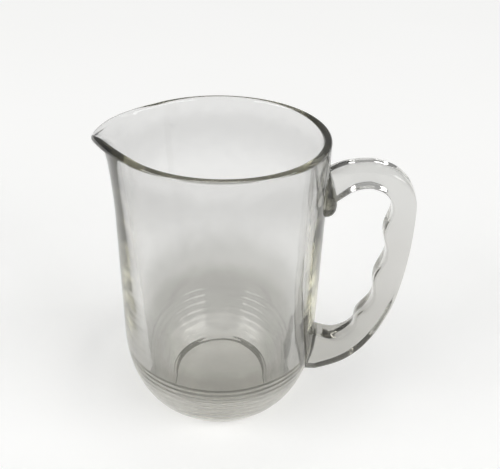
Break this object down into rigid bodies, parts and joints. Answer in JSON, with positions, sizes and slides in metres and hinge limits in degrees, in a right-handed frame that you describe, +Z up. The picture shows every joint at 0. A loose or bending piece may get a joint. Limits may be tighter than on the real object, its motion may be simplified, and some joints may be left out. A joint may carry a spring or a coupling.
{
  "type": "glass beer pitcher",
  "caption": "Straight-sided clear glass pitcher with a pulled pouring lip, a rounded heel with pressed rings, and a welded loop handle with finger wells.",
  "frame": {"origin": "centre of the foot ring, on the surface that the pitcher stands on", "axes": "+Z up along the vessel's axis, +X out through the handle, -X out through the spout"},
  "size_m": [0.1749, 0.116, 0.168],
  "materials": {
    "vessel_glass": "clear, fire polished",
    "handle_glass": "clear, fire polished",
    "weld_glass": "clear, slightly olive where thick"
  },
  "bodies": {
    "root": {"body": "vessel_glass", "handle": "handle_glass", "upper_handle_pad": "weld_glass", "lower_handle_pad": "weld_glass"}
  },
  "joints": []
}
